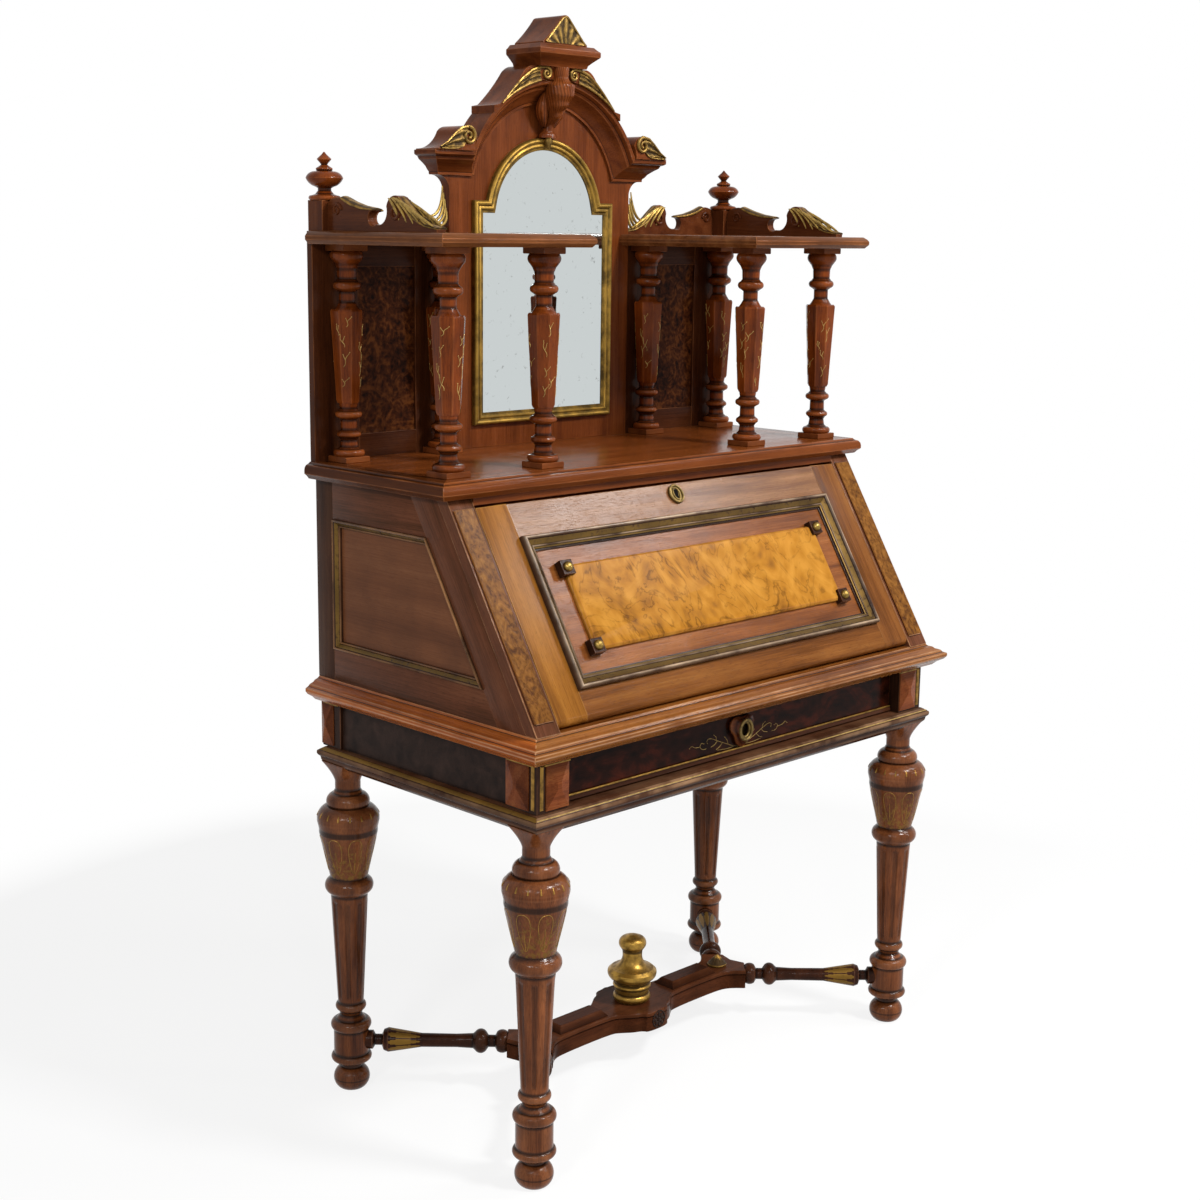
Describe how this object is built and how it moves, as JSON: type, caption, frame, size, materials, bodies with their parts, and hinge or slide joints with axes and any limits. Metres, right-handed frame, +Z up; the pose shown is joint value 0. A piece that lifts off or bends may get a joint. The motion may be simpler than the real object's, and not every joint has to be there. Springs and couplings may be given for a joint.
{
  "type": "slant-front secretary desk",
  "caption": "Walnut slant-front secretary desk with a fall-front writing case, frieze drawer, turned legs, shaped stretcher and mirrored gallery with shelves on turned columns.",
  "frame": {"origin": "on the floor, under the middle of the overall box", "axes": "+X to the sitter's right, -Y to the front, +Z up"},
  "size_m": [1.076, 0.6061, 1.91],
  "materials": {
    "walnut": "glossy shellac",
    "walnut_dark": "glossy shellac",
    "burl": "glossy shellac",
    "gilt": "antique gilt, worn",
    "brass": "aged",
    "steel": "dull",
    "mirror": "polished",
    "plain_wood": "matt"
  },
  "bodies": {
    "desk": {"aprons": "walnut_dark", "base_moulding": "walnut", "case_back": "plain_wood", "case_side_frames": "walnut", "case_side_panels": "walnut_dark", "case_top_rail": "walnut", "centre_panel": "walnut", "columns": "walnut", "corner_posts": "walnut", "corner_tablets": "walnut", "drawer_runners": "plain_wood", "gallery_posts": "walnut", "gallery_rails": "walnut", "gallery_wings": "walnut", "hood_cap": "walnut", "hood_cornice": "walnut", "hood_scrolls": "walnut", "inner_cheeks": "plain_wood", "keystone": "walnut", "leg_back_left": "walnut", "leg_back_right": "walnut", "leg_front_left": "walnut", "leg_front_right": "walnut", "lid_pivots": "brass", "mirror_frame": "gilt", "mirror_glass": "mirror", "pediment": "walnut", "pigeonholes": "plain_wood", "shelves": "walnut", "side_panel_mouldings": "gilt", "slant_stiles": "walnut", "stretcher_finial": "gilt", "stretcher_rail": "walnut_dark", "stretcher_spindles": "walnut", "top_board": "walnut", "wing_panels": "burl", "writing_bed": "walnut_dark", "writing_board": "walnut"},
    "lid": {"lid_blocks": "walnut", "lid_escutcheon": "brass", "lid_frame": "walnut", "lid_lock": "steel", "lid_moulding": "gilt", "lid_panel": "burl", "lid_studs": "brass", "lid_tablet": "burl", "stay_lid_brackets": "brass"},
    "drawer": {"drawer_bead": "gilt", "drawer_boss": "walnut", "drawer_bottom": "plain_wood", "drawer_box": "plain_wood", "drawer_escutcheon": "brass", "drawer_front": "walnut_dark", "drawer_lock": "steel"},
    "lid_bolt": {"lid_lock_bolt": "steel"},
    "drawer_bolt": {"drawer_lock_bolt": "steel"},
    "stay_case_left": {"stay_case_arm_left": "brass"},
    "stay_case_right": {"stay_case_arm_right": "brass"},
    "stay_lid_left": {"stay_lid_arm_left": "brass"},
    "stay_lid_right": {"stay_lid_arm_right": "brass"}
  },
  "joints": [
    {"name": "lid_fall", "type": "hinge", "parent": "desk", "child": "lid", "pos_m": [0, -0.25447, 0.7785], "axis": [1, 0, 0], "range_deg": [0, 121.66]},
    {"name": "drawer_slide", "type": "slide", "parent": "desk", "child": "drawer", "axis": [0, -1, 0], "range_m": [0, 0.3]},
    {"name": "lid_bolt_throw", "type": "slide", "parent": "lid", "child": "lid_bolt", "axis": [0, 0.5249, 0.8512], "range_m": [0, 0.022]},
    {"name": "drawer_bolt_throw", "type": "slide", "parent": "drawer", "child": "drawer_bolt", "axis": [0, 0, 1], "range_m": [0, 0.008]},
    {"name": "stay_case_turn_left", "type": "hinge", "parent": "desk", "child": "stay_case_left", "pos_m": [0, -0.12644, 0.80107], "axis": [1, 0, 0], "range_deg": [0, 121.66]},
    {"name": "stay_lid_turn_left", "type": "hinge", "parent": "lid", "child": "stay_lid_left", "pos_m": [0, -0.16622, 0.87396], "axis": [1, 0, 0], "range_deg": [-121.66, 0]},
    {"name": "stay_case_turn_right", "type": "hinge", "parent": "desk", "child": "stay_case_right", "pos_m": [0, -0.12644, 0.80107], "axis": [1, 0, 0], "range_deg": [0, 121.66]},
    {"name": "stay_lid_turn_right", "type": "hinge", "parent": "lid", "child": "stay_lid_right", "pos_m": [0, -0.16622, 0.87396], "axis": [1, 0, 0], "range_deg": [-121.66, 0]}
  ],
  "couplings": [
    {"joint": "stay_case_turn_left", "follows": "lid_fall", "ratio": 1},
    {"joint": "stay_lid_turn_left", "follows": "lid_fall", "ratio": -1},
    {"joint": "stay_case_turn_right", "follows": "lid_fall", "ratio": 1},
    {"joint": "stay_lid_turn_right", "follows": "lid_fall", "ratio": -1}
  ]
}
